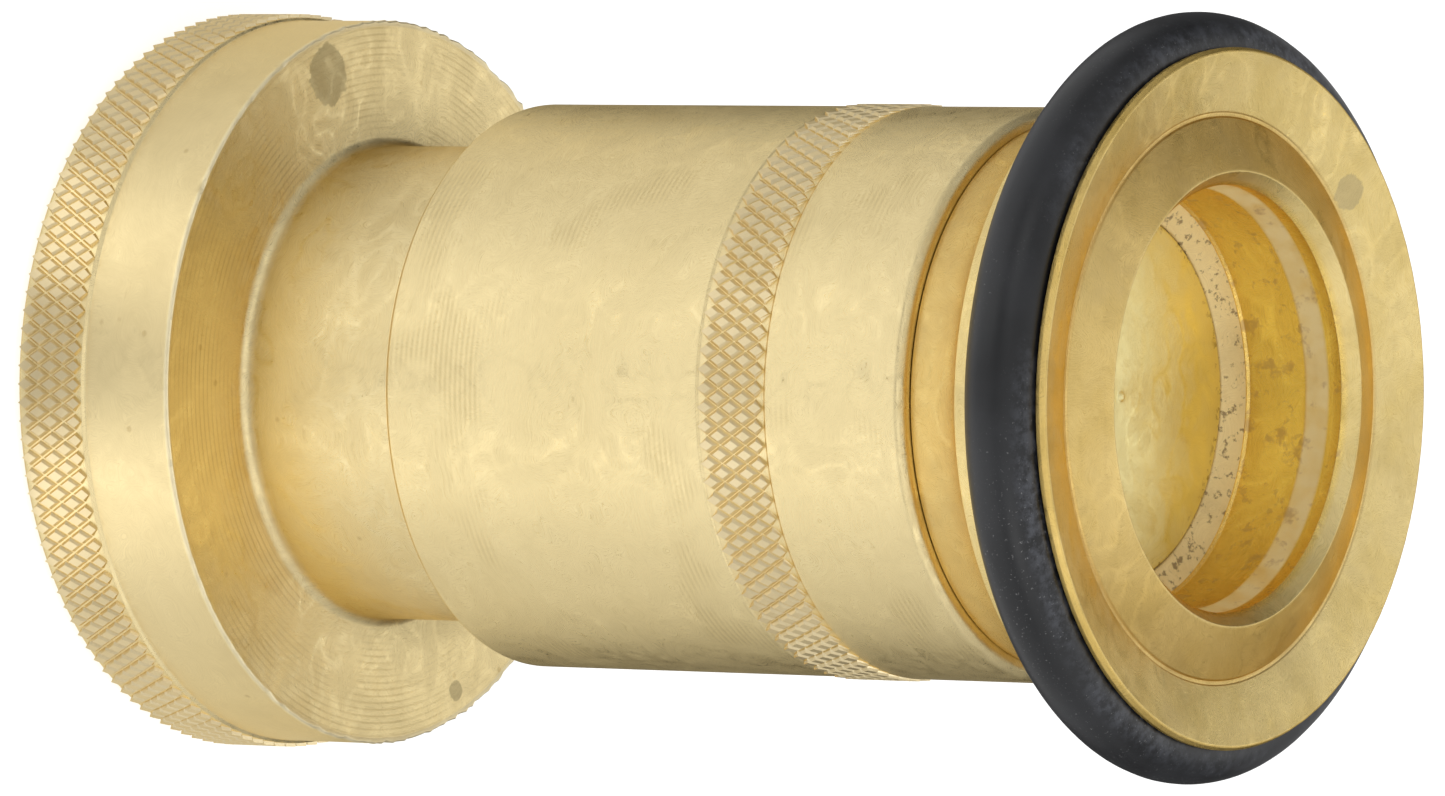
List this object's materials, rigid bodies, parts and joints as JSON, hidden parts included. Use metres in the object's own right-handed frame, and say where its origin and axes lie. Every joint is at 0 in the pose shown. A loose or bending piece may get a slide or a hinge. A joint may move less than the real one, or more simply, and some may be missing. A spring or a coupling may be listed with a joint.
{
  "type": "fire hose nozzle",
  "caption": "Brass adjustable fog nozzle for a fire hose: knurled hose inlet, screw-travel sleeve, flared tip with a rubber bumper, shut-off stem head in the throat.",
  "frame": {"origin": "centre of the inlet's rear face, which it stands on", "axes": "+Z along the nozzle's axis, from the hose inlet towards the tip; X and Y are any two directions square to it"},
  "size_m": [0.069, 0.069, 0.1117],
  "materials": {
    "inlet_body": "satin machined, dulled",
    "inlet_gasket": "matte moulded",
    "stem_spider": "satin machined, dulled",
    "spider_ring": "spring steel, plain",
    "stem_rod": "satin machined, dulled",
    "stem_lock_washer": "spring steel, plain",
    "stem_nut": "satin machined, dulled",
    "nose_seal": "matte moulded",
    "nose_backup_ring": "matte",
    "stem_head": "satin machined, dulled",
    "head_seal": "matte moulded",
    "seal_retainer": "satin machined, dulled",
    "sleeve_wiper": "matte moulded",
    "sleeve_barrel": "satin machined, dulled",
    "tip": "satin machined, dulled",
    "tip_gasket": "matte moulded",
    "throat_seat": "satin machined, dulled",
    "seat_gasket": "matte moulded",
    "bumper_ring": "matte moulded"
  },
  "bodies": {
    "base": {"inlet_body": "inlet_body", "inlet_gasket": "inlet_gasket", "stem_spider": "stem_spider", "spider_ring": "spider_ring", "stem_rod": "stem_rod", "stem_lock_washer": "stem_lock_washer", "stem_nut": "stem_nut", "nose_seal": "nose_seal", "nose_backup_ring": "nose_backup_ring", "stem_head": "stem_head", "head_seal": "head_seal", "seal_retainer": "seal_retainer"},
    "wiper": {"sleeve_wiper": "sleeve_wiper"},
    "sleeve": {"sleeve_barrel": "sleeve_barrel", "tip": "tip", "tip_gasket": "tip_gasket", "throat_seat": "throat_seat", "seat_gasket": "seat_gasket", "bumper_ring": "bumper_ring"}
  },
  "joints": [
    {"name": "sleeve_travel", "type": "slide", "parent": "base", "child": "wiper", "axis": [0, 0, 1], "range_m": [-0.0122, 0]},
    {"name": "sleeve_turn", "type": "hinge", "parent": "wiper", "child": "sleeve", "pos_m": [0, 0, 0], "axis": [0, 0, 1], "range_deg": [-540, 0]}
  ],
  "couplings": [
    {"joint": "sleeve_travel", "follows": "sleeve_turn", "m_per_rad": 0.0012732}
  ]
}
